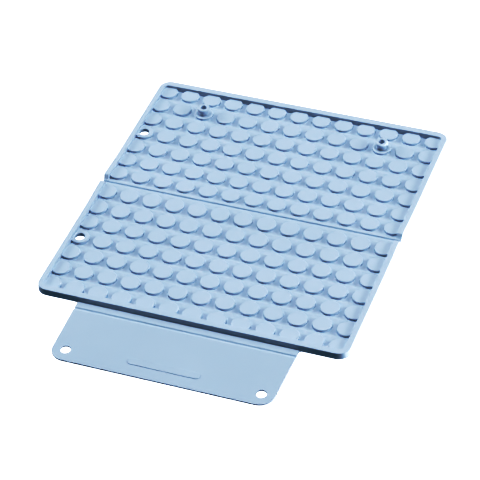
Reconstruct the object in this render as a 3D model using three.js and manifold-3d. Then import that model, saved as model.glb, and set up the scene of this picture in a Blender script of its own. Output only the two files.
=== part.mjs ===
// Fold-up silicone heat mat: two bumped panels joined by a living hinge, with a closure flap on a
// grooved spine strip, two snap studs and two hanging eyelets. Millimetres, +X along the crease,
// +Y to the rear edge, +Z up. The underside is the plane z = 0 and the origin is below the middle
// of the opened mat.
import * as THREE from "three";
import { mergeVertices } from "three/addons/utils/BufferGeometryUtils.js";
import Module from "manifold-3d";

const wasm = await Module();
wasm.setup();

// Bump grid of one panel
const COLUMNS = 13;
const ROWS = 7;
const PITCH_X = 17.5;
const PITCH_Y = 17.0;
const BUMP_R = 6.9;
const BUMP_TOP = 3.1;
const BUMP_SIDES = 12;

// Sheet, ridges between the bump rows, and the hinge web at the crease
const SHEET_T = 1.0;
const RIDGE_TOP = 1.7;
const RIDGE_W = 2.4;
const CREASE_TO_ROW = 11.05;
const WEB_W = 4.0;
const GROOVE_W = 1.4;
const WEB_T = 0.6;

// Rim round three sides of a panel
const SIDE_EDGE = 8.15; // outer column centre to the side face
const END_EDGE = 10.1; // outer row centre to the end face
const RIM_W = 3.8;
const RIM_TOP = 5.2;
const RIM_ROUND = 0.8;
const CORNER_R = 8.3;
const RIM_SLOPE = 3.8; // length over which a rim end comes down to the crease

// Snap studs, on the sixth row out from the crease, and the eyelets, on the middle row
const STUD_ROW = 5;
const STUD_COLUMN = 4; // columns out from the middle one
const NECK_R = 3.7;
const HEAD_R = 4.75;
const HEAD_T = 2.2;
const STUD_TOP = 8.7;
const STUD_HOLE_R = 2.25;
const STUD_HOLE_FLOOR = 4.0;
const EYELET_ROW = 3;
const EYELET_R = 3.6;

// Closure flap
const FLAP_LENGTH = 57.0; // front wall to the free edge, spine strip included
const FLAP_W = 159.3;
const FLAP_T = 1.1;
const FLAP_CORNER_R = 11.0;
const SPINE_W = 6.5; // front wall to the middle of the flap groove
const FLAP_GROOVE_W = 1.8;
const FLAP_GROOVE_T = 0.5;
const FLAP_HOLE_R = 3.6;
const FLAP_HOLE_INSET = 10.2; // hole centre to the free edge
const BADGE_L = 52.0;
const BADGE_W = 6.0;
const BADGE_RISE = 0.4;
const BADGE_INSET = 13.0; // badge middle to the free edge

const GAP = 0.3; // clearance that keeps neighbouring pieces apart
const ROUND_STEPS = 24;

const HALF_X = ((COLUMNS - 1) / 2) * PITCH_X + SIDE_EDGE;
const PANEL_DEPTH = CREASE_TO_ROW + (ROWS - 1) * PITCH_Y + END_EDGE;
const CREASE_Y = (2 * PANEL_DEPTH + FLAP_LENGTH) / 2 - PANEL_DEPTH;

const SILICONE = { color: 0xa9c6de, roughness: 0.55, metalness: 0.0 };

// Solids and geometry ------------------------------------------------------------------------

function solid(geometry) {
  const bare = geometry.clone();
  bare.deleteAttribute("normal");
  bare.deleteAttribute("uv");
  const merged = mergeVertices(bare, 1e-4);
  return new wasm.Manifold(
    new wasm.Mesh({
      numProp: 3,
      vertProperties: new Float32Array(merged.attributes.position.array),
      triVerts: new Uint32Array(merged.index.array),
    }),
  );
}

function geometryOf(manifold) {
  const made = manifold.getMesh();
  const geometry = new THREE.BufferGeometry();
  geometry.setAttribute("position", new THREE.BufferAttribute(made.vertProperties, 3));
  geometry.setIndex(new THREE.BufferAttribute(made.triVerts, 1));
  const flat = geometry.toNonIndexed();
  flat.computeVertexNormals();
  return flat;
}

function node(name, manifold) {
  const mesh = new THREE.Mesh(geometryOf(manifold), new THREE.MeshStandardMaterial(SILICONE));
  mesh.name = name;
  return mesh;
}

// A box given by its lowest and highest corners.
function block(low, high) {
  const size = high.map((h, i) => h - low[i]);
  const box = new THREE.BoxGeometry(...size);
  return solid(box.translate(...low.map((l, i) => l + size[i] / 2)));
}

// An upright prism of an outline, from the height low to the height high.
function prism(shape, low, high) {
  const options = { depth: high - low, bevelEnabled: false, curveSegments: 8 };
  return solid(new THREE.ExtrudeGeometry(shape, options).translate(0, 0, low));
}

function drum(x, y, radius, low, high, sides) {
  const cylinder = new THREE.CylinderGeometry(radius, radius, high - low, sides);
  cylinder.rotateX(Math.PI / 2);
  return solid(cylinder.translate(x, y, (low + high) / 2));
}

// A solid of revolution about an upright axis, from profile points (radius, height).
function turned(x, y, profile, steps) {
  const lathe = new THREE.LatheGeometry(profile, steps);
  lathe.rotateX(Math.PI / 2);
  return solid(lathe.translate(x, y, 0));
}

// Points of an arc about (cx, cy), both ends included; angles are in degrees.
function arc(cx, cy, radius, from, to, steps) {
  const points = [];
  for (let i = 0; i <= steps; i++) {
    const angle = THREE.MathUtils.degToRad(from + ((to - from) * i) / steps);
    points.push(new THREE.Vector2(cx + radius * Math.cos(angle), cy + radius * Math.sin(angle)));
  }
  return points;
}

// Outline of width 2 * halfX from y = near to y = far, with its two far corners rounded.
function roundedEnd(halfX, near, far, radius) {
  const corner = arc(halfX - radius, far - radius, radius, 0, 90, 5);
  const mirrored = corner.map((p) => new THREE.Vector2(-p.x, p.y)).reverse();
  return new THREE.Shape([
    new THREE.Vector2(-halfX, near),
    new THREE.Vector2(halfX, near),
    ...corner,
    ...mirrored,
  ]);
}

// Bumped sheet ---------------------------------------------------------------------------------

const columnX = (column) => column * PITCH_X;
const rowY = (row) => CREASE_TO_ROW + row * PITCH_Y;

function sheetOutline() {
  return roundedEnd(
    HALF_X - RIM_W - GAP,
    WEB_W + GAP,
    PANEL_DEPTH - RIM_W - GAP,
    CORNER_R - RIM_W - GAP,
  );
}

// fittings is the list of [x, y] places where a stud or an eyelet takes the place of a bump.
function sheet(fittings) {
  const isFitting = (x, y) => fittings.some(([fx, fy]) => fx === x && fy === y);
  const reach = (COLUMNS - 1) / 2;
  const raised = [];
  for (let row = 0; row < ROWS; row++) {
    for (let column = -reach; column <= reach; column++) {
      const x = columnX(column);
      const y = rowY(row);
      if (!isFitting(x, y)) raised.push(drum(x, y, BUMP_R, 0, BUMP_TOP, BUMP_SIDES));
    }
    if (row > 0) {
      const middle = rowY(row) - PITCH_Y / 2;
      raised.push(block([-HALF_X, middle - RIDGE_W / 2, 0], [HALF_X, middle + RIDGE_W / 2, RIDGE_TOP]));
    }
  }
  const outline = sheetOutline();
  const bumps = wasm.Manifold.union(raised).intersect(prism(outline, 0, RIM_TOP));
  const pockets = fittings.map(([x, y]) => drum(x, y, BUMP_R + GAP, -1, RIM_TOP, ROUND_STEPS));
  return prism(outline, 0, SHEET_T).add(bumps).subtract(wasm.Manifold.union(pockets));
}

// Half of the living hinge: a raised bar along the crease, thinned to the groove at its edge.
function hingeWeb() {
  const halfX = HALF_X - RIM_W - GAP;
  const bar = block([-halfX, GAP / 2, 0], [halfX, WEB_W, RIDGE_TOP]);
  return bar.subtract(block([-HALF_X, 0, WEB_T], [HALF_X, GROOVE_W / 2, RIM_TOP]));
}

// Rim ------------------------------------------------------------------------------------------

// Section of the rim between two distances, with rounded top edges.
function rimSection(inner, outer) {
  const top = RIM_TOP - RIM_ROUND;
  return [
    new THREE.Vector2(inner, 0),
    new THREE.Vector2(outer, 0),
    ...arc(outer - RIM_ROUND, top, RIM_ROUND, 0, 90, 3),
    ...arc(inner + RIM_ROUND, top, RIM_ROUND, 90, 180, 3),
  ];
}

// A straight bar of that section, its underside on z = 0: along +X with its inner face on y = 0.
function rimBar(length) {
  const section = new THREE.Shape(rimSection(0, RIM_W));
  const bar = new THREE.ExtrudeGeometry(section, { depth: length, bevelEnabled: false });
  return bar.rotateX(Math.PI / 2).rotateZ(Math.PI / 2);
}

function endRim() {
  const halfX = HALF_X - CORNER_R - GAP;
  return solid(rimBar(2 * halfX).translate(-halfX, PANEL_DEPTH - RIM_W, 0));
}

// side is -1 or 1, the sign of x.
function sideRim(side) {
  const from = GAP / 2;
  const to = PANEL_DEPTH - CORNER_R - GAP;
  const bar = rimBar(to - from).rotateZ(Math.PI / 2);
  bar.translate(side < 0 ? RIM_W - HALF_X : HALF_X, from, 0);
  const slope = new THREE.Shape([
    new THREE.Vector2(from - GAP, RIDGE_TOP),
    new THREE.Vector2(from, RIDGE_TOP),
    new THREE.Vector2(from + RIM_SLOPE, RIM_TOP),
    new THREE.Vector2(from + RIM_SLOPE, RIM_TOP + GAP),
    new THREE.Vector2(from - GAP, RIM_TOP + GAP),
  ]);
  const wedge = new THREE.ExtrudeGeometry(slope, { depth: 2 * HALF_X + 2, bevelEnabled: false });
  wedge.rotateX(Math.PI / 2).rotateZ(Math.PI / 2).translate(-HALF_X - 1, 0, 0);
  return solid(bar).subtract(solid(wedge));
}

function cornerRim(side) {
  const section = rimSection(CORNER_R - RIM_W, CORNER_R);
  const x = side * (HALF_X - CORNER_R);
  const y = PANEL_DEPTH - CORNER_R;
  const ring = turned(x, y, [...section, section[0]], ROUND_STEPS);
  const low = [side < 0 ? x - CORNER_R - 1 : x, y, -1];
  const high = [side < 0 ? x : x + CORNER_R + 1, y + CORNER_R + 1, RIM_TOP + 1];
  return ring.intersect(block(low, high));
}

// Studs and eyelets ----------------------------------------------------------------------------

function snapStud(x, y) {
  const headRound = HEAD_T / 2;
  const headMiddle = STUD_TOP - headRound;
  return turned(
    x,
    y,
    [
      new THREE.Vector2(0, 0),
      new THREE.Vector2(BUMP_R, 0),
      new THREE.Vector2(BUMP_R, BUMP_TOP),
      new THREE.Vector2(NECK_R, BUMP_TOP),
      new THREE.Vector2(NECK_R, STUD_TOP - HEAD_T),
      ...arc(HEAD_R - headRound, headMiddle, headRound, -90, 90, 6),
      new THREE.Vector2(STUD_HOLE_R, STUD_TOP),
      new THREE.Vector2(STUD_HOLE_R, STUD_HOLE_FLOOR),
      new THREE.Vector2(0, STUD_HOLE_FLOOR),
    ],
    ROUND_STEPS,
  );
}

function hangingEyelet(x, y) {
  const ring = drum(x, y, BUMP_R, 0, BUMP_TOP, ROUND_STEPS);
  const hole = drum(x, y, EYELET_R, -1, RIM_TOP, ROUND_STEPS);
  return ring.subtract(hole).intersect(prism(sheetOutline(), 0, RIM_TOP));
}

// Closure flap, in the front panel's own frame ---------------------------------------------------

const FLAP_GROOVE_Y = PANEL_DEPTH + SPINE_W;

function flapGroove() {
  const half = FLAP_GROOVE_W / 2;
  return block(
    [-HALF_X, FLAP_GROOVE_Y - half, FLAP_GROOVE_T],
    [HALF_X, FLAP_GROOVE_Y + half, FLAP_T + BADGE_RISE],
  );
}

function flapSpine() {
  const low = [-FLAP_W / 2, PANEL_DEPTH + GAP, 0];
  const high = [FLAP_W / 2, FLAP_GROOVE_Y - GAP / 2, FLAP_T];
  return block(low, high).subtract(flapGroove());
}

function badge(middleY) {
  const radius = BADGE_W / 2;
  const reach = BADGE_L / 2 - radius;
  const outline = new THREE.Shape([
    ...arc(reach, middleY, radius, -90, 90, 8),
    ...arc(-reach, middleY, radius, 90, 270, 8),
  ]);
  return prism(outline, FLAP_T / 2, FLAP_T + BADGE_RISE);
}

function closureFlap() {
  const edge = PANEL_DEPTH + FLAP_LENGTH;
  const outline = roundedEnd(FLAP_W / 2, FLAP_GROOVE_Y + GAP / 2, edge, FLAP_CORNER_R);
  const holes = [-1, 1].map((side) =>
    drum(side * columnX(STUD_COLUMN), edge - FLAP_HOLE_INSET, FLAP_HOLE_R, -1, RIM_TOP, ROUND_STEPS),
  );
  return prism(outline, 0, FLAP_T)
    .add(badge(edge - BADGE_INSET))
    .subtract(flapGroove())
    .subtract(wasm.Manifold.union(holes));
}

// Assembly ---------------------------------------------------------------------------------------

// One panel in its own frame: the crease on y = 0 and the panel towards +Y. left is the sign of x
// that ends up on the left of the mat.
function panel(name, left, studs) {
  const group = new THREE.Group();
  const eyelet = [left * columnX((COLUMNS - 1) / 2), rowY(EYELET_ROW)];
  const studPlaces = studs
    ? [
        ["left", left * columnX(STUD_COLUMN), rowY(STUD_ROW)],
        ["right", -left * columnX(STUD_COLUMN), rowY(STUD_ROW)],
      ]
    : [];
  const fittings = [eyelet, ...studPlaces.map(([, x, y]) => [x, y])];
  group.add(node(`${name}_panel_sheet`, sheet(fittings)));
  group.add(node(`${name}_hinge_web`, hingeWeb()));
  group.add(node(`${name}_end_rim`, endRim()));
  for (const [word, side] of [
    ["left", left],
    ["right", -left],
  ]) {
    group.add(node(`${name}_${word}_rim`, sideRim(side)));
    group.add(node(`${name}_${word}_corner_rim`, cornerRim(side)));
  }
  group.add(node(`${name}_hanging_eyelet`, hangingEyelet(...eyelet)));
  for (const [word, x, y] of studPlaces) group.add(node(`${word}_snap_stud`, snapStud(x, y)));
  return group;
}

const mat = new THREE.Group();

const rearPanel = panel("rear", -1, true);
rearPanel.position.y = CREASE_Y;
mat.add(rearPanel);

const frontPanel = panel("front", 1, false);
frontPanel.position.y = CREASE_Y;
frontPanel.rotation.z = Math.PI;
frontPanel.add(node("flap_spine_strip", flapSpine()));
frontPanel.add(node("closure_flap", closureFlap()));
mat.add(frontPanel);

export default mat;
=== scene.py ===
"""Fold-up silicone heat mat: the fine surfaces, materials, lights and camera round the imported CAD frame.

Shapes are worked out in millimetres in the CAD's frame and written to Blender in metres. A panel's
own coordinates are x, along the crease, and v, the distance out from the crease. sign is 1 for the
rear panel and -1 for the front one.
"""

import math

import bmesh
import bpy
import numpy as np
from mathutils import Matrix, Vector
from mathutils.geometry import delaunay_2d_cdt


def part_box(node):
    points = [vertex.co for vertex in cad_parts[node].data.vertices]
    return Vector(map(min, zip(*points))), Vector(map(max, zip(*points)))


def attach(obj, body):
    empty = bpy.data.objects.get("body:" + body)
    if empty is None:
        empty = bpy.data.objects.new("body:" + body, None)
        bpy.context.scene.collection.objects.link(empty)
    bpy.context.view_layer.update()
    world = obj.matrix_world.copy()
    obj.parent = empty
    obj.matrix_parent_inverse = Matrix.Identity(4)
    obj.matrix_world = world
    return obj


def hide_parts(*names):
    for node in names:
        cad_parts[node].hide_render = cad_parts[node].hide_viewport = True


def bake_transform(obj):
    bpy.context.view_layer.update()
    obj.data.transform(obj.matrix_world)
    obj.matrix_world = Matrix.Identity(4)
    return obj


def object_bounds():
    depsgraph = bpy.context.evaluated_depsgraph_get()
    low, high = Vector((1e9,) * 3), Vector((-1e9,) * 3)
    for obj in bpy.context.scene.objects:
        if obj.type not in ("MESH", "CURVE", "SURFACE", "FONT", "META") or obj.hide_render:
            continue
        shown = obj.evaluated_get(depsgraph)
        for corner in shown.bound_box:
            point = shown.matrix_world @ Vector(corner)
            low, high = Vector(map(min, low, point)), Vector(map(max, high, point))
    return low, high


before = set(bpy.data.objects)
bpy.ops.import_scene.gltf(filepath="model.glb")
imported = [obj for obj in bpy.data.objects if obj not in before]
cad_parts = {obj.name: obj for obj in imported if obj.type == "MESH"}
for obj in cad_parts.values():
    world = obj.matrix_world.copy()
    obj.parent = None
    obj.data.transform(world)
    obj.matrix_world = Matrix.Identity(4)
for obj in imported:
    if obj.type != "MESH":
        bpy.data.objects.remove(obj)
CAD_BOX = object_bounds()
MM = 0.001


def box_mm(node):
    """Lowest and highest corner of a CAD node, in millimetres."""
    low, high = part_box(node)
    return np.array(low) / MM, np.array(high) / MM


def middle_mm(node):
    low, high = box_mm(node)
    return (low + high) / 2


# Sizes read from the frame --------------------------------------------------------------------

CREASE_Y = (box_mm("rear_hinge_web")[0][1] + box_mm("front_hinge_web")[1][1]) / 2
HALF_X = box_mm("rear_right_rim")[1][0]
PANEL_DEPTH = box_mm("rear_end_rim")[1][1] - CREASE_Y
RIM_TOP = box_mm("rear_end_rim")[1][2]
RIM_W = box_mm("rear_end_rim")[1][1] - box_mm("rear_end_rim")[0][1]
CORNER_R = box_mm("rear_right_corner_rim")[1][0] - box_mm("rear_right_corner_rim")[0][0]
BUMP_TOP = box_mm("rear_panel_sheet")[1][2]
RIDGE_TOP = box_mm("rear_hinge_web")[1][2]
STUD_TOP = box_mm("left_snap_stud")[1][2]
FRONT_WALL_Y = box_mm("front_end_rim")[0][1]
FLAP_T = box_mm("flap_spine_strip")[1][2]
FLAP_HALF_X = box_mm("flap_spine_strip")[1][0]
FLAP_EDGE_Y = box_mm("closure_flap")[0][1]
FLAP_GAP_Y = (box_mm("flap_spine_strip")[0][1] + box_mm("closure_flap")[1][1]) / 2

# Driving dimensions of the moulding, in millimetres ---------------------------------------------

COLUMNS = 13
ROWS = 7
PITCH_X = 17.5
PITCH_Y = 17.0
FIRST_ROW = 11.05  # crease to the middle of the nearest bump row
BUMP_R = 6.9
BUMP_EDGE = 0.6  # rounding of a bump's top edge
BUMP_FOOT = 0.25  # fillet at a bump's foot
FOOT_R = BUMP_R + BUMP_FOOT
SHEET_T = 1.0
SEAT_Z = SHEET_T / 2  # what stands on the sheet reaches down into it to this height
RIDGE_HALF_W = 2.3  # the soft ridges between the bump rows

CREASE_HALF_W = FIRST_ROW - PITCH_Y / 2  # where the sheet hands over to the hinge web
GROOVE_HALF_W = 0.75
GROOVE_LIP = 0.3  # the groove's edges round off over this distance
GROOVE_T = 0.5  # silicone left under the groove
GROOVE_FLAT = 0.35  # share of a groove's half width that is flat at its bottom
GROOVE_SHOULDER = 1.6  # the ridge beside the groove starts here
NOTCH = 0.5  # how far the hinge web's ends sit in from the side faces
CREASE_LIFT = 1.5  # the moulded crease never lies quite flat: it arches up this much
LIFT_REACH = 34.0  # the arch has faded out this far from the crease

RIM_EDGE = 0.35  # rounding of the rim's top edges
RIM_DRAFT = 0.12  # lean of the rim's inner face
RIM_OUTER_FOOT = 0.3  # rounding of the outer face's lower edge
RIM_SPREAD = 0.3  # how much further out the rim's outer face stands at its foot
END_RIM_EXTRA = 1.45  # the rims along the two ends are this much wider than the side rims
RIGHT_RIM_OUT = 1.0  # the right rims stand this much further out
RIGHT_RIM_EXTRA = 0.7  # and are this much wider
RIM_FOOT = 0.45  # fillet at the rim's inner foot
RIM_START = 0.95  # crease to a rim's end
RIM_SLOPE = 3.6  # the rim climbs to its full height over this distance
TUCK = 1.0  # how far the sheet runs in under the rim
SHEET_SIDE = HALF_X - RIM_W + TUCK
SHEET_END = PANEL_DEPTH - RIM_W + TUCK

HOLE_R = 3.6
EYELET_SEAT_R = 5.0  # hole in the sheet that the eyelet's ring sits in
EYELET_EDGE = 0.45
EYELET_UNDER_EDGE = 0.25

NECK_R = 3.7
NECK_FILLET = 0.3
STUD_SEAT = 0.5  # fillet between the neck and the bump
STUD_SUNK = 0.3  # how far the stud reaches down into its bump
STUD_HEAD_R = 4.75
STUD_HEAD_T = 2.2
STUD_HOLE_R = 2.25
STUD_HOLE_EDGE = 0.35
STUD_HOLE_BEVEL = 0.3
STUD_HOLE_FLOOR = 4.0

FLAP_CORNER_R = 11.0
FLAP_ROOT_EXTRA = 0.9  # the flap is this much wider each side at its root than at its free edge
FLAP_ROOT_HALF_X = FLAP_HALF_X + FLAP_ROOT_EXTRA
FLAP_EDGE = 0.2
FLAP_HOLE_INSET = 10.2
FLAP_GROOVE_OUT = 0.4  # the groove lies this much nearer the free edge than the CAD's gap
FLAP_GROOVE_Y = FLAP_GAP_Y - FLAP_GROOVE_OUT
FLAP_GROOVE_HALF_W = 1.1
FLAP_GROOVE_LIP = 0.35
FLAP_GROOVE_T = 0.2
FLAP_GROOVE_REACH = 1.8  # flap groove to the ends of the strip that bends
ROOT_TUCK = 1.5  # how far the flap's root runs in under the front wall
ROOT_REACH = 2.2  # front wall to the spine band
ROOT_FILLET = 2.0
ROOT_UNDER = 0.05  # the root's underside is this much higher than the wall's

BADGE_HALF_L = 26.0
BADGE_HALF_W = 3.0
BADGE_RISE = 0.35
BADGE_EDGE = 0.2
BADGE_INSET = 13.0

# How finely the surfaces are divided --------------------------------------------------------------

SEGMENTS = 48  # points round a bump, an eyelet or a stud
HOLE_STEPS = 40
STRIP_STEPS = 24  # sections along a strip
GROOVE_STEPS = 17
BUMP_TOP_RINGS = (2.4, 4.6, BUMP_R - BUMP_EDGE - 0.15)  # radii, the last just inside the rounding
GROUND_SHARES = (0.12, 0.26, 0.42, 0.6, 0.8, 1.0)  # rings from a bump's foot to its cell's border
PLATE_LEDGE = 0.5  # flat ring between a plate's rounded edge and its filled middle
SHARP_DEG = 50  # edges sharper than this aren't shaded smooth
MERGE_M = 2e-6  # points closer than this, in metres, are one point
SLIVER_M = 1e-6  # and edges shorter than this are dropped
TINY = 1e-6

# Looks --------------------------------------------------------------------------------------------

COLOUR_LOW = (0.50, 0.58, 0.665)
COLOUR_HIGH = (0.52, 0.60, 0.69)
COLOUR_SCALE = 14.0
COLOUR_DETAIL = 3.0
ROUGHNESS_LOW = 0.5
ROUGHNESS_HIGH = 0.62
ROUGHNESS_SCALE = 900.0
GRAIN_SCALE = 2600.0
GRAIN_DEPTH = 0.00006
FINE_DETAIL = 2.0  # of the roughness and the grain
NOISE_LOW = 0.3  # noise values that get the low and the high end of a ramp
NOISE_HIGH = 0.7
SUBSURFACE = 0.04
SUBSURFACE_RADIUS = (0.4, 0.7, 1.0)
SUBSURFACE_SCALE = 0.001
SPECULAR = 0.3

# Stage and camera, in metres and degrees, with the lens and its sensor in millimetres -------------

MAT_MIDDLE = Vector(((CAD_BOX[0][i] + CAD_BOX[1][i]) / 2 for i in range(3)))
FLOOR_DROP = 0.062  # the flap can hang this far below the mat when it is folded down
FLOOR_HALF = 30.0
LIGHT_TINT = (0.965, 1.01, 1.10)
AMBIENT = (0.016, 0.016, 0.012)
TABLE_BOUNCE = (0.25, 0.34, 0.42)  # light from the white table, on the walls and the underside
BOUNCE_TOP = 0.05  # height on the sky's sphere where the table's light has faded into the ambient
CAMERA_AZIMUTH = 21.96
CAMERA_ELEVATION = 41.22
CAMERA_ROLL = 3.12
CAMERA_LENS = 172.95
CAMERA_SENSOR = 36
CAMERA_SHIFT = (0.0017, 0.0004)
CAMERA_PLACE = (0.46235, -1.13875, 1.07498)
TONE_POINTS = ((0.12, 0.02), (0.3, 0.13), (0.42, 0.32), (0.5, 0.45), (0.6, 0.61))
COMBINED_CURVE = 3  # the curve for all channels, after those of red, green and blue


# Mesh helpers -------------------------------------------------------------------------------------


class Shell:
    """A surface gathered ring by ring, in millimetres, and made into one smooth object."""

    def __init__(self):
        self.points = []
        self.faces = []
        self.count = 0

    def ring(self, points):
        """Adds points and returns their numbers."""
        points = np.asarray(points, float).reshape(-1, 3)
        start = self.count
        self.points.append(points)
        self.count += len(points)
        return np.arange(start, self.count)

    def bridge(self, one, other):
        """Quads between two closed rings of the same length."""
        n = len(one)
        for i in range(n):
            j = (i + 1) % n
            self.faces.append((one[i], one[j], other[j], other[i]))

    def fan(self, centre, ring):
        """Triangles from a middle point to a closed ring."""
        n = len(ring)
        self.faces.extend((centre, ring[i], ring[(i + 1) % n]) for i in range(n))

    def cap(self, ring):
        """One flat face over a closed ring."""
        self.faces.append(tuple(ring))

    def loft(self, rings):
        """Bridges each closed ring of points to the next, and returns the rings' numbers."""
        made = [self.ring(points) for points in rings]
        for one, other in zip(made, made[1:]):
            self.bridge(one, other)
        return made

    def build(self, name, material):
        mesh = bpy.data.meshes.new(name)
        points = np.concatenate(self.points) * MM
        mesh.from_pydata(points.tolist(), [], [tuple(int(i) for i in face) for face in self.faces])
        clean(mesh)
        mesh.shade_smooth()
        mesh.set_sharp_from_angle(angle=math.radians(SHARP_DEG))
        mesh.materials.append(material)
        made = bpy.data.objects.new(name, mesh)
        bpy.context.scene.collection.objects.link(made)
        return made


def clean(mesh):
    """Joins points that coincide, drops what has no area, and turns every face outwards."""
    work = bmesh.new()
    work.from_mesh(mesh)
    bmesh.ops.remove_doubles(work, verts=work.verts, dist=MERGE_M)
    bmesh.ops.dissolve_degenerate(work, edges=work.edges, dist=SLIVER_M)
    loose = [v for v in work.verts if not v.link_faces]
    bmesh.ops.delete(work, geom=loose, context="VERTS")
    bmesh.ops.recalc_face_normals(work, faces=work.faces)
    work.to_mesh(mesh)
    work.free()


def arc(centre, radius, start, end, steps):
    """Points of an arc in a plane; angles in degrees, both ends included."""
    angles = np.radians(np.linspace(start, end, steps + 1))
    return [(centre[0] + radius * math.cos(t), centre[1] + radius * math.sin(t)) for t in angles]


def smooth_step(share):
    """Eases a share from 0 to 1, flat at both ends."""
    return share * share * (3 - 2 * share)


def lathe(shell, centre, profile):
    """Turns the profile points (radius, z) about the upright axis through centre."""
    angles = np.arange(SEGMENTS) * 2 * math.pi / SEGMENTS
    rings = []
    for radius, z in profile:
        x = centre[0] + radius * np.cos(angles)
        y = centre[1] + radius * np.sin(angles)
        rings.append(np.column_stack([x, y, np.full(SEGMENTS, z)]))
    return shell.loft(rings)


# Materials ----------------------------------------------------------------------------------------


def silicone(name, grain, painted_shade_factor=1.0):
    """Moulded silicone: satin, faintly translucent, with a fine grain.

    grain is the strength of the grain, and the last argument multiplies the colour: below 1 it makes a copy
    of the same silicone darkened with painted shade.
    """
    material = bpy.data.materials.new(name)
    material.use_nodes = True
    nodes, links = material.node_tree.nodes, material.node_tree.links
    shader = nodes["Principled BSDF"]
    place = nodes.new("ShaderNodeTexCoord").outputs["Object"]

    def noise(scale, detail):
        node = nodes.new("ShaderNodeTexNoise")
        node.inputs["Scale"].default_value = scale
        node.inputs["Detail"].default_value = detail
        links.new(place, node.inputs["Vector"])
        return node.outputs["Fac"]

    def ramp(value, low, high):
        node = nodes.new("ShaderNodeValToRGB")
        node.color_ramp.elements[0].position = NOISE_LOW
        node.color_ramp.elements[1].position = NOISE_HIGH
        node.color_ramp.elements[0].color = (*low, 1.0)
        node.color_ramp.elements[1].color = (*high, 1.0)
        links.new(value, node.inputs["Fac"])
        return node.outputs["Color"]

    low = tuple(part * painted_shade_factor for part in COLOUR_LOW)
    high = tuple(part * painted_shade_factor for part in COLOUR_HIGH)
    colour = ramp(noise(COLOUR_SCALE, COLOUR_DETAIL), low, high)
    links.new(colour, shader.inputs["Base Color"])
    patches = noise(ROUGHNESS_SCALE, FINE_DETAIL)
    roughness = ramp(patches, (ROUGHNESS_LOW,) * 3, (ROUGHNESS_HIGH,) * 3)
    links.new(roughness, shader.inputs["Roughness"])
    bump = nodes.new("ShaderNodeBump")
    bump.inputs["Strength"].default_value = grain
    bump.inputs["Distance"].default_value = GRAIN_DEPTH
    links.new(noise(GRAIN_SCALE, FINE_DETAIL), bump.inputs["Height"])
    links.new(bump.outputs["Normal"], shader.inputs["Normal"])
    shader.inputs["Subsurface Weight"].default_value = SUBSURFACE
    shader.inputs["Subsurface Radius"].default_value = SUBSURFACE_RADIUS
    shader.inputs["Subsurface Scale"].default_value = SUBSURFACE_SCALE
    shader.inputs["Specular IOR Level"].default_value = SPECULAR
    return material


SILICONE = silicone("pale_blue_silicone", grain=0.25)
# The flap's copy is the same silicone, its colour darkened to 0.92 as painted shade.
SILICONE_FLAP = silicone("pale_blue_silicone_flap_painted_shade", grain=0.5, painted_shade_factor=0.92)


# Bumped sheets ------------------------------------------------------------------------------------


def arched(points):
    """Raises points (x, y, z) near the crease, where the mat keeps a little of its fold."""
    points = np.array(points, float)
    share = np.minimum(np.abs(points[:, 1] - CREASE_Y) / LIFT_REACH, 1)
    points[:, 2] += CREASE_LIFT * 0.5 * (1 + np.cos(math.pi * share))
    return points


def on_panel(at, z, sign):
    """Panel points (x, v) at the heights z, in the mat's frame."""
    return arched(np.column_stack([at[:, 0], CREASE_Y + sign * at[:, 1], z]))


def ground(v):
    """Height of the sheet's top between the bumps: flat valleys with a soft ridge between rows."""
    nearest = np.clip(np.round((v - CREASE_HALF_W) / PITCH_Y), 0, ROWS - 1)
    away = np.abs(v - CREASE_HALF_W - nearest * PITCH_Y) / RIDGE_HALF_W
    wave = 0.5 * (1 + np.cos(math.pi * np.minimum(away, 1)))
    return SHEET_T + (RIDGE_TOP - SHEET_T) * wave


def border_directions():
    """Unit directions from a bump's middle to its cell's border, evenly spaced on each side."""
    corner = math.atan2(PITCH_Y, PITCH_X)
    stops = [-corner, corner, math.pi - corner, math.pi + corner, 2 * math.pi - corner]
    sides = zip(stops, stops[1:])
    angles = [np.linspace(start, end, SEGMENTS // 4, endpoint=False) for start, end in sides]
    angles = np.concatenate(angles)
    return np.column_stack([np.cos(angles), np.sin(angles)])


def border_points(directions):
    """Where those directions meet the border of a cell."""
    along_x, along_v = np.maximum(np.abs(directions), TINY).T
    reach = np.minimum(PITCH_X / 2 / along_x, PITCH_Y / 2 / along_v)
    return directions * reach[:, None]


DIRECTIONS = border_directions()
BORDER = border_points(DIRECTIONS)


def around(centre, offsets):
    """Points (x, v) at these offsets from a bump's middle, held inside the sheet's edges."""
    at = centre + offsets
    at[:, 0] = np.clip(at[:, 0], -SHEET_SIDE, SHEET_SIDE)
    at[:, 1] = np.minimum(at[:, 1], SHEET_END)
    return at


def bump_profile():
    """Rings of a bump as (radius, part, amount); bump_height says what the amount is."""
    top_edge = arc((BUMP_R - BUMP_EDGE, 0), BUMP_EDGE, 90, 0, 5)
    foot = arc((FOOT_R, BUMP_FOOT), BUMP_FOOT, 180, 270, 3)
    return [
        *((radius, "top", 0.0) for radius in BUMP_TOP_RINGS),
        *((radius, "top", BUMP_EDGE - height) for radius, height in top_edge),
        (BUMP_R, "wall", 0.5),
        *((radius, "foot", height) for radius, height in foot),
    ]


def bump_height(part, amount, floor):
    """Heights of a ring's points; floor is the height of the ground at each of them.

    The amount is a drop below the top, a rise above the floor, or a share of the way down the wall.
    """
    if part == "top":
        return np.full(len(floor), BUMP_TOP - amount)
    if part == "foot":
        return floor + amount
    return (BUMP_TOP - BUMP_EDGE) * (1 - amount) + (floor + BUMP_FOOT) * amount


def bump_rings(centre):
    """Rings (points, heights) of a bump, from its top to its foot."""
    rings = []
    for radius, part, amount in bump_profile():
        at = around(centre, DIRECTIONS * radius)
        rings.append((at, bump_height(part, amount, ground(at[:, 1]))))
    return rings


def hole_rings(centre, radius):
    """Rings (points, heights) of a plain hole, from the underside to the ground."""
    at = around(centre, DIRECTIONS * radius)
    return [(at, np.zeros(SEGMENTS)), (at, ground(at[:, 1]))]


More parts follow.
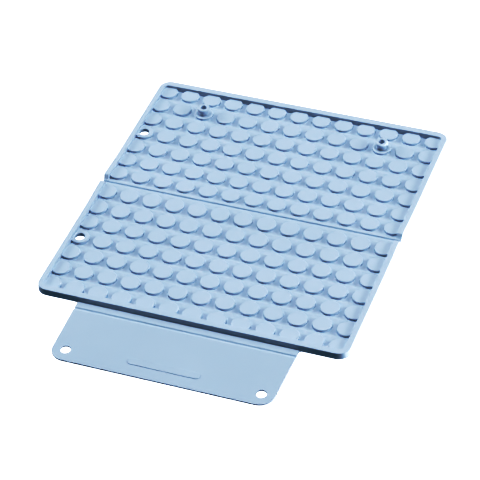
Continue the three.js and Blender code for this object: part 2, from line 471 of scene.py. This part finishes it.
def ground_rings(centre, inner_r):
    """Rings (points, heights) of the ground, from inner_r out to the cell's border."""
    rings = []
    for share in GROUND_SHARES:
        at = around(centre, DIRECTIONS * inner_r * (1 - share) + BORDER * share)
        rings.append((at, ground(at[:, 1])))
    return rings


def edge_steps(border):
    """Which steps of a cell's border lie on the edge of the sheet."""
    between = (border + np.roll(border, -1, axis=0)) / 2
    return np.flatnonzero(
        (np.abs(between[:, 0]) > SHEET_SIDE - TINY)
        | (between[:, 1] > SHEET_END - TINY)
        | (between[:, 1] < CREASE_HALF_W + TINY)
    )


def cell(shell, sign, column, row, hole_r=0.0):
    """One bump with the ground round it, or with hole_r the ground round a hole."""
    centre = np.array([column * PITCH_X, FIRST_ROW + row * PITCH_Y])
    rings = hole_rings(centre, hole_r) if hole_r else bump_rings(centre)
    rings += ground_rings(centre, hole_r or FOOT_R)
    border = rings[-1][0]
    made = shell.loft([on_panel(at, z, sign) for at, z in rings])
    under = shell.ring(on_panel(border, np.zeros(SEGMENTS), sign))
    if hole_r:
        shell.bridge(under, made[0])
    else:
        top = shell.ring(on_panel(centre[None, :], np.array([BUMP_TOP]), sign))
        shell.fan(top[0], made[0])
        shell.cap(under)
    for i in edge_steps(border):
        j = (i + 1) % SEGMENTS
        shell.faces.append((made[-1][i], made[-1][j], under[j], under[i]))


def panel_sheet(name, body, sign):
    """A panel's sheet with all its bumps, and a hole where its eyelet sits."""
    eyelet = middle_mm(f"{name}_hanging_eyelet")
    eyelet_row = round((sign * (eyelet[1] - CREASE_Y) - FIRST_ROW) / PITCH_Y)
    shell = Shell()
    reach = (COLUMNS - 1) // 2
    for row in range(ROWS):
        for column in range(-reach, reach + 1):
            is_eyelet = column == -reach and row == eyelet_row
            cell(shell, sign, column, row, EYELET_SEAT_R if is_eyelet else 0.0)
    made = shell.build(f"{name}_bumped_sheet", SILICONE)
    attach(made, body)
    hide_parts(f"{name}_panel_sheet")


def eyelet_ring(name, body):
    """The bump with the hanging hole, as a ring seated in the sheet."""
    low, high = box_mm(f"{name}_hanging_eyelet")
    centre = (high[0] - BUMP_R, (low[1] + high[1]) / 2)
    profile = [
        *arc((HOLE_R + EYELET_UNDER_EDGE, EYELET_UNDER_EDGE), EYELET_UNDER_EDGE, 180, 270, 3),
        (EYELET_SEAT_R, 0.0),
        (EYELET_SEAT_R, SEAT_Z),
        (FOOT_R, SEAT_Z),
        *arc((FOOT_R, SHEET_T + BUMP_FOOT), BUMP_FOOT, 270, 180, 3),
        *arc((BUMP_R - BUMP_EDGE, BUMP_TOP - BUMP_EDGE), BUMP_EDGE, 0, 90, 5),
        *arc((HOLE_R + EYELET_EDGE, BUMP_TOP - EYELET_EDGE), EYELET_EDGE, 90, 180, 5),
    ]
    shell = Shell()
    rings = lathe(shell, centre, profile)
    shell.bridge(rings[-1], rings[0])
    made = shell.build(f"{name}_eyelet_ring", SILICONE)
    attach(made, body)
    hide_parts(f"{name}_hanging_eyelet")


# Rims -----------------------------------------------------------------------------------------------


def rim_profile(width):
    """Section of the rim as (distance in from the outer face, height), closed."""
    foot = width + RIM_FOOT
    inner_top = width - RIM_DRAFT - RIM_EDGE
    return [
        *arc((RIM_OUTER_FOOT - RIM_SPREAD, RIM_OUTER_FOOT), RIM_OUTER_FOOT, 270, 180, 3),
        *arc((RIM_EDGE, RIM_TOP - RIM_EDGE), RIM_EDGE, 180, 90, 5),
        (width / 2, RIM_TOP),
        *arc((inner_top, RIM_TOP - RIM_EDGE), RIM_EDGE, 90, 0, 5),
        *arc((foot, SHEET_T + RIM_FOOT), RIM_FOOT, 180, 270, 4),
        (foot, SEAT_Z),
        (width - TUCK, SEAT_Z),
        (width - TUCK, 0.0),
    ]


def rim_path():
    """Outer line of a panel's rim from its left end round to its right end: (x, v) and the way in."""
    straight = PANEL_DEPTH - CORNER_R
    rise = RIM_START + RIM_SLOPE * np.linspace(0, 1, 13)
    side_v = np.concatenate([rise, np.linspace(rise[-1], straight, 14)[1:]])
    points = [((-HALF_X, v), (1.0, 0.0)) for v in side_v]
    for angle in np.radians(np.linspace(180, 90, 17))[1:]:
        way = (math.cos(angle), math.sin(angle))
        at = (-HALF_X + CORNER_R * (1 + way[0]), straight + CORNER_R * way[1])
        points.append((at, (-way[0], -way[1])))
    half_end = HALF_X - CORNER_R
    ends = np.linspace(-half_end, 0, 14)[1:]
    points += [((x, PANEL_DEPTH), (0.0, -1.0)) for x in ends]
    mirrored = [((-x, v), (-in_x, in_v)) for (x, v), (in_x, in_v) in points[-2::-1]]
    return points + mirrored


def rim_rise(v):
    """How much of its height the rim has reached at a distance v from the crease, from 0 to 1."""
    return smooth_step(np.clip((v - RIM_START) / RIM_SLOPE, 0, 1))


def rim_section(at, way_in, sign):
    """The rim's section at one point of its path, in the mat's frame.

    Near the crease it is lower and its outer face further in. It is wider along the end, and wider
    and further out on the right.
    """
    x, v = at
    in_x, in_v = way_in
    rise = rim_rise(v)
    top = RIDGE_TOP + (RIM_TOP - RIDGE_TOP) * rise
    stretch = (top - SEAT_Z) / (RIM_TOP - SEAT_Z)
    on_right = max(-in_x, 0) ** 2
    width = RIM_W + END_RIM_EXTRA * in_v * in_v + RIGHT_RIM_EXTRA * on_right
    out = RIGHT_RIM_OUT * on_right
    inset = NOTCH * (1 - rise)
    section = []
    for distance, z in rim_profile(width):
        raised = z if z <= SEAT_Z else SEAT_Z + (z - SEAT_Z) * stretch
        inward = distance + inset if distance < RIM_W / 2 else distance
        inward -= out
        section.append((x + in_x * inward, CREASE_Y + sign * (v + in_v * inward), raised))
    return arched(section)


def panel_rim(name, body, sign):
    """A panel's whole rim in one piece, from the crease round to the crease."""
    shell = Shell()
    rings = shell.loft([rim_section(at, way_in, sign) for at, way_in in rim_path()])
    shell.cap(rings[0])
    shell.cap(rings[-1])
    made = shell.build(f"{name}_raised_rim", SILICONE)
    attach(made, body)
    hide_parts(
        f"{name}_end_rim",
        f"{name}_left_rim",
        f"{name}_right_rim",
        f"{name}_left_corner_rim",
        f"{name}_right_corner_rim",
    )


# Strips that run along X: the hinge web and the parts of the flap's root -----------------------------


def strip(name, half_x, outline, middle_x=0.0):
    """A closed bar along X, centred on middle_x, from its outline points (y, z).

    half_x(y) is its half length at y.
    """
    shell = Shell()
    sections = []
    for share in np.linspace(-1, 1, STRIP_STEPS):
        sections.append(arched([(middle_x + share * half_x(y), y, z) for y, z in outline]))
    made = shell.loft(sections)
    shell.cap(made[0])
    shell.cap(made[-1])
    return shell.build(name, SILICONE)


def groove_line(half_width, bottom_z, top_z, lip):
    """Top line across a rounded groove centred on 0, as (offset, z), from - to +."""
    flat = half_width * GROOVE_FLAT
    slope = half_width * (1 - GROOVE_FLAT) + lip
    line = []
    for offset in np.linspace(-half_width - lip, half_width + lip, GROOVE_STEPS):
        share = np.clip((abs(offset) - flat) / slope, 0, 1)
        line.append((offset, bottom_z + (top_z - bottom_z) * smooth_step(share)))
    return line


def hinge_web():
    """The living hinge along the centre crease: a low double ridge with a groove."""
    far = CREASE_HALF_W
    top = [(-far, RIDGE_TOP), (-GROOVE_SHOULDER, RIDGE_TOP)]
    top += groove_line(GROOVE_HALF_W, GROOVE_T, RIDGE_TOP, GROOVE_LIP)
    top += [(GROOVE_SHOULDER, RIDGE_TOP), (far, RIDGE_TOP)]
    bottom = [(v, 0.0) for v in np.linspace(far, -far, 15)]
    outline = [(CREASE_Y + v, z) for v, z in top + bottom]
    half_length = HALF_X - NOTCH + RIGHT_RIM_OUT / 2
    made = strip("centre_hinge_web", lambda y: half_length, outline, RIGHT_RIM_OUT / 2)
    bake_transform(made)
    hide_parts("rear_hinge_web", "front_hinge_web")


# Studs ------------------------------------------------------------------------------------------------


def snap_stud(name):
    """Mushroom stud on its bump: filleted neck, rounded head and blind hole."""
    middle = middle_mm(name)
    head_round = STUD_HEAD_T / 2
    neck_top = STUD_TOP - STUD_HEAD_T - NECK_FILLET
    seat_r = NECK_R + STUD_SEAT
    profile = [
        (seat_r, BUMP_TOP - STUD_SUNK),
        *arc((seat_r, BUMP_TOP + STUD_SEAT), STUD_SEAT, 270, 180, 4),
        *arc((NECK_R + NECK_FILLET, neck_top), NECK_FILLET, 180, 90, 3),
        *arc((STUD_HEAD_R - head_round, STUD_TOP - head_round), head_round, -90, 90, 12),
        *arc((STUD_HOLE_R + STUD_HOLE_EDGE, STUD_TOP - STUD_HOLE_EDGE), STUD_HOLE_EDGE, 90, 180, 5),
        (STUD_HOLE_R, STUD_HOLE_FLOOR + STUD_HOLE_BEVEL),
        (STUD_HOLE_R - STUD_HOLE_BEVEL, STUD_HOLE_FLOOR),
    ]
    shell = Shell()
    rings = lathe(shell, middle, profile)
    shell.cap(rings[0])
    shell.cap(rings[-1])
    made = shell.build(f"{name}_head", SILICONE)
    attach(made, "rear_panel")
    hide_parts(name)


# Flap ---------------------------------------------------------------------------------------------------


def flap_root():
    """The strip from inside the front wall to the spine, over the flap's bend at the foot of the wall; it
    stays fixed in place.
    """
    near = FRONT_WALL_Y + ROOT_TUCK
    far = FRONT_WALL_Y - ROOT_REACH
    ys = np.concatenate([[near], np.linspace(FRONT_WALL_Y, far, 9)])
    outline = [(y, FLAP_T) for y in ys] + [(y, ROOT_UNDER) for y in ys[::-1]]

    def half_x(y):
        """Flares out to the wall with a concave fillet."""
        away = np.clip((FRONT_WALL_Y - y) / ROOT_FILLET, 0, 1)
        return FLAP_ROOT_HALF_X + ROOT_FILLET * (1 - math.sqrt(1 - (1 - away) ** 2))

    made = strip("flap_root_web", half_x, outline)
    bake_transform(made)


def flap_spine():
    """The stiff band between the bend at the wall and the bend at the groove."""
    near = FRONT_WALL_Y - ROOT_REACH
    far = FLAP_GROOVE_Y + FLAP_GROOVE_REACH
    ys = np.linspace(near, far, 4)
    outline = [(y, FLAP_T) for y in ys] + [(y, 0.0) for y in ys[::-1]]
    made = strip("flap_spine_band", lambda y: FLAP_ROOT_HALF_X, outline)
    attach(made, "flap_spine")
    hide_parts("flap_spine_strip")


def flap_hinge():
    """The grooved strip between the spine and the flap, over the flap's bend at the groove; it stays fixed
    in place.
    """
    reach = FLAP_GROOVE_REACH
    top = [(reach, FLAP_T)]
    top += groove_line(FLAP_GROOVE_HALF_W, FLAP_GROOVE_T, FLAP_T, FLAP_GROOVE_LIP)[::-1]
    top += [(-reach, FLAP_T)]
    bottom = [(offset, 0.0) for offset in np.linspace(-reach, reach, 13)]
    outline = [(FLAP_GROOVE_Y + offset, z) for offset, z in top + bottom]
    made = strip("flap_hinge_web", lambda y: FLAP_ROOT_HALF_X, outline)
    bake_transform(made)


def plate_profile(thickness, edge):
    """Edge of a plate as (inset, z), from under it, round its rounded edges, to the top."""
    lower = [(edge - out, edge - down) for down, out in arc((0, 0), edge, 0, 90, 4)]
    upper = [(edge - out, thickness - edge + up) for up, out in arc((0, 0), edge, 90, 0, 4)]
    return [(edge + PLATE_LEDGE, 0.0), *lower, *upper, (edge + PLATE_LEDGE, thickness)]


def plate(name, loops, thickness, edge, material):
    """A flat plate with rounded edges.

    loops is a list of functions from an inset to points (x, y), the outer line first and the holes
    after it. A positive inset goes into the material.
    """
    shell = Shell()
    bottom, top = [], []
    for loop in loops:
        rings = []
        for inset, z in plate_profile(thickness, edge):
            at = np.asarray(loop(inset))
            rings.append(np.column_stack([at, np.full(len(at), z)]))
        made = shell.loft(rings)
        bottom.append((rings[0], made[0]))
        top.append((rings[-1], made[-1]))
    fill(shell, top)
    fill(shell, bottom)
    return shell.build(name, material)


def fill(shell, rings):
    """Triangles over the flat area inside the first ring and outside the round holes after it.

    rings is a list of (points, their numbers in the shell).
    """
    points = [Vector(p[:2]) for at, _ in rings for p in at]
    numbers = [number for _, made in rings for number in made]
    ends = np.cumsum([len(at) for at, _ in rings])
    loops = [list(range(end - len(at), end)) for end, (at, _) in zip(ends, rings)]
    inside_loops = 1  # the kind of result: only what lies inside the loops
    places, _, triangles, sources, *_ = delaunay_2d_cdt(points, [], loops, inside_loops, 1e-7)
    holes = [round_hole(at[:, :2]) for at, _ in rings[1:]]
    for triangle in triangles:
        middle = np.mean([places[i] for i in triangle], axis=0)
        if not any(np.linalg.norm(middle - centre) < radius for centre, radius in holes):
            shell.faces.append(tuple(numbers[sources[i][0]] for i in triangle))


def round_hole(at):
    """Centre and radius of a ring of points."""
    return np.mean(at, axis=0), np.min(np.ptp(at, axis=0)) / 2


def circle_loop(centre, radius):
    """A round hole as a loop for plate: the inset goes outwards, into the material."""

    def loop(inset):
        angles = np.arange(HOLE_STEPS) * 2 * math.pi / HOLE_STEPS
        r = radius + inset
        return np.column_stack([centre[0] + r * np.cos(angles), centre[1] + r * np.sin(angles)])

    return loop


def closure_flap():
    """The plain flap, a little wider at its groove than at its free corners, with its two holes."""
    near = FLAP_GROOVE_Y - FLAP_GROOVE_REACH

    def outline(inset):
        half = FLAP_HALF_X - inset
        root = FLAP_ROOT_HALF_X - inset
        edge = FLAP_EDGE_Y + inset
        radius = FLAP_CORNER_R - inset
        left = arc((-half + radius, edge + radius), radius, 180, 270, 18)
        right = arc((half - radius, edge + radius), radius, 270, 360, 18)
        return [(-root, near), *left, *right, (root, near)]

    hole_x = middle_mm("right_snap_stud")[0]
    hole_y = FLAP_EDGE_Y + FLAP_HOLE_INSET
    holes = [circle_loop((side * hole_x, hole_y), HOLE_R) for side in (-1, 1)]
    made = plate("closure_flap_sheet", [outline, *holes], FLAP_T, FLAP_EDGE, SILICONE_FLAP)
    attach(made, "flap")
    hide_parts("closure_flap")


def blank_badge():
    """A blank raised bar on the flap."""
    middle_y = FLAP_EDGE_Y + BADGE_INSET

    def outline(inset):
        radius = BADGE_HALF_W - inset
        reach = BADGE_HALF_L - BADGE_HALF_W
        right = arc((reach, middle_y), radius, -90, 90, 14)
        left = arc((-reach, middle_y), radius, 90, 270, 14)
        return [*right, *left]

    made = plate("blank_badge", [outline], FLAP_T, BADGE_EDGE, SILICONE_FLAP)
    made.data.transform(Matrix.Translation((0, 0, BADGE_RISE * MM)))
    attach(made, "flap")


# Stage ------------------------------------------------------------------------------------------------


def floor():
    """A plain white floor that glows evenly and throws no light on the mat."""
    mesh = bpy.data.meshes.new("floor")
    half = FLOOR_HALF
    corners = [(-half, -half), (half, -half), (half, half), (-half, half)]
    mesh.from_pydata([(x, y, -FLOOR_DROP) for x, y in corners], [], [(0, 1, 2, 3)])
    material = bpy.data.materials.new("white_floor")
    material.use_nodes = True
    shader = material.node_tree.nodes["Principled BSDF"]
    shader.inputs["Base Color"].default_value = (0.9, 0.9, 0.9, 1)
    shader.inputs["Emission Color"].default_value = (1, 1, 1, 1)
    shader.inputs["Emission Strength"].default_value = 1.0
    mesh.materials.append(material)
    made = bpy.data.objects.new("floor", mesh)
    bpy.context.scene.collection.objects.link(made)
    made.visible_diffuse = False
    made.visible_glossy = False
    made.visible_transmission = False


def direction(azimuth, elevation):
    """Unit direction from the mat, in degrees: azimuth 0 is in front of it and 90 to its right."""
    a, e = math.radians(azimuth), math.radians(elevation)
    return Vector((math.sin(a) * math.cos(e), -math.cos(a) * math.cos(e), math.sin(e)))


def softbox(name, azimuth, elevation, distance, width, height, power):
    """An area light aimed at the mat's middle."""
    data = bpy.data.lights.new(name, "AREA")
    data.shape = "RECTANGLE"
    data.size, data.size_y = width, height
    data.energy = power
    data.color = LIGHT_TINT
    made = bpy.data.objects.new(name, data)
    way = direction(azimuth, elevation)
    made.location = MAT_MIDDLE + way * distance
    made.rotation_euler = (-way).to_track_quat("-Z", "Y").to_euler()
    bpy.context.scene.collection.objects.link(made)


def lights():
    softbox("right_softbox", azimuth=98, elevation=20, distance=2.5, width=2.0, height=0.55, power=42)
    softbox("left_softbox", azimuth=262, elevation=20, distance=2.5, width=2.0, height=0.55, power=38)
    softbox("low_right_strip", azimuth=105, elevation=-3, distance=0.5, width=0.3, height=0.035, power=4)
    softbox("rear_top_softbox", azimuth=180, elevation=82, distance=2.5, width=1.8, height=0.35, power=43.5)


def surroundings():
    """White behind the mat for the camera; for the mat, the table's light low down and little above."""
    world = bpy.data.worlds.new("studio")
    bpy.context.scene.world = world
    world.use_nodes = True
    nodes, links = world.node_tree.nodes, world.node_tree.links
    ambient = nodes["Background"]
    ambient.inputs["Strength"].default_value = 1.0
    height = nodes.new("ShaderNodeSeparateXYZ")
    links.new(nodes.new("ShaderNodeTexCoord").outputs["Generated"], height.inputs["Vector"])
    blend = nodes.new("ShaderNodeValToRGB")
    blend.color_ramp.elements[0].position = 0.0
    blend.color_ramp.elements[1].position = BOUNCE_TOP
    blend.color_ramp.elements[0].color = (*TABLE_BOUNCE, 1)
    blend.color_ramp.elements[1].color = (*AMBIENT, 1)
    links.new(height.outputs["Z"], blend.inputs["Fac"])
    links.new(blend.outputs["Color"], ambient.inputs["Color"])
    backdrop = nodes.new("ShaderNodeBackground")
    backdrop.inputs["Strength"].default_value = 1.0
    backdrop.inputs["Color"].default_value = (1, 1, 1, 1)
    mix = nodes.new("ShaderNodeMixShader")
    links.new(nodes.new("ShaderNodeLightPath").outputs["Is Camera Ray"], mix.inputs["Fac"])
    links.new(ambient.outputs["Background"], mix.inputs[1])
    links.new(backdrop.outputs["Background"], mix.inputs[2])
    links.new(mix.outputs["Shader"], nodes["World Output"].inputs["Surface"])


def camera():
    data = bpy.data.cameras.new("camera")
    data.lens = CAMERA_LENS
    data.sensor_width = CAMERA_SENSOR
    data.shift_x, data.shift_y = CAMERA_SHIFT
    data.clip_end = 100
    made = bpy.data.objects.new("camera", data)
    back = direction(CAMERA_AZIMUTH, CAMERA_ELEVATION)
    turn = (-back).to_track_quat("-Z", "Y").to_matrix().to_4x4()
    turn = turn @ Matrix.Rotation(math.radians(-CAMERA_ROLL), 4, "Z")
    made.matrix_world = Matrix.Translation(CAMERA_PLACE) @ turn
    bpy.context.scene.collection.objects.link(made)
    bpy.context.scene.camera = made


def tone():
    """A studio photograph's contrast: deep shadows and a steady midtone."""
    view = bpy.context.scene.view_settings
    view.view_transform = "Standard"
    view.use_curve_mapping = True
    curve = view.curve_mapping.curves[COMBINED_CURVE]
    for at, value in TONE_POINTS:
        curve.points.new(at, value)
    view.curve_mapping.update()


# Scene --------------------------------------------------------------------------------------------------

for panel_name, panel_body, panel_sign in (("rear", "rear_panel", 1), ("front", "front_panel", -1)):
    panel_sheet(panel_name, panel_body, panel_sign)
    eyelet_ring(panel_name, panel_body)
    panel_rim(panel_name, panel_body, panel_sign)
hinge_web()
snap_stud("left_snap_stud")
snap_stud("right_snap_stud")
flap_root()
flap_spine()
flap_hinge()
closure_flap()
blank_badge()
floor()
lights()
surroundings()
camera()
tone()
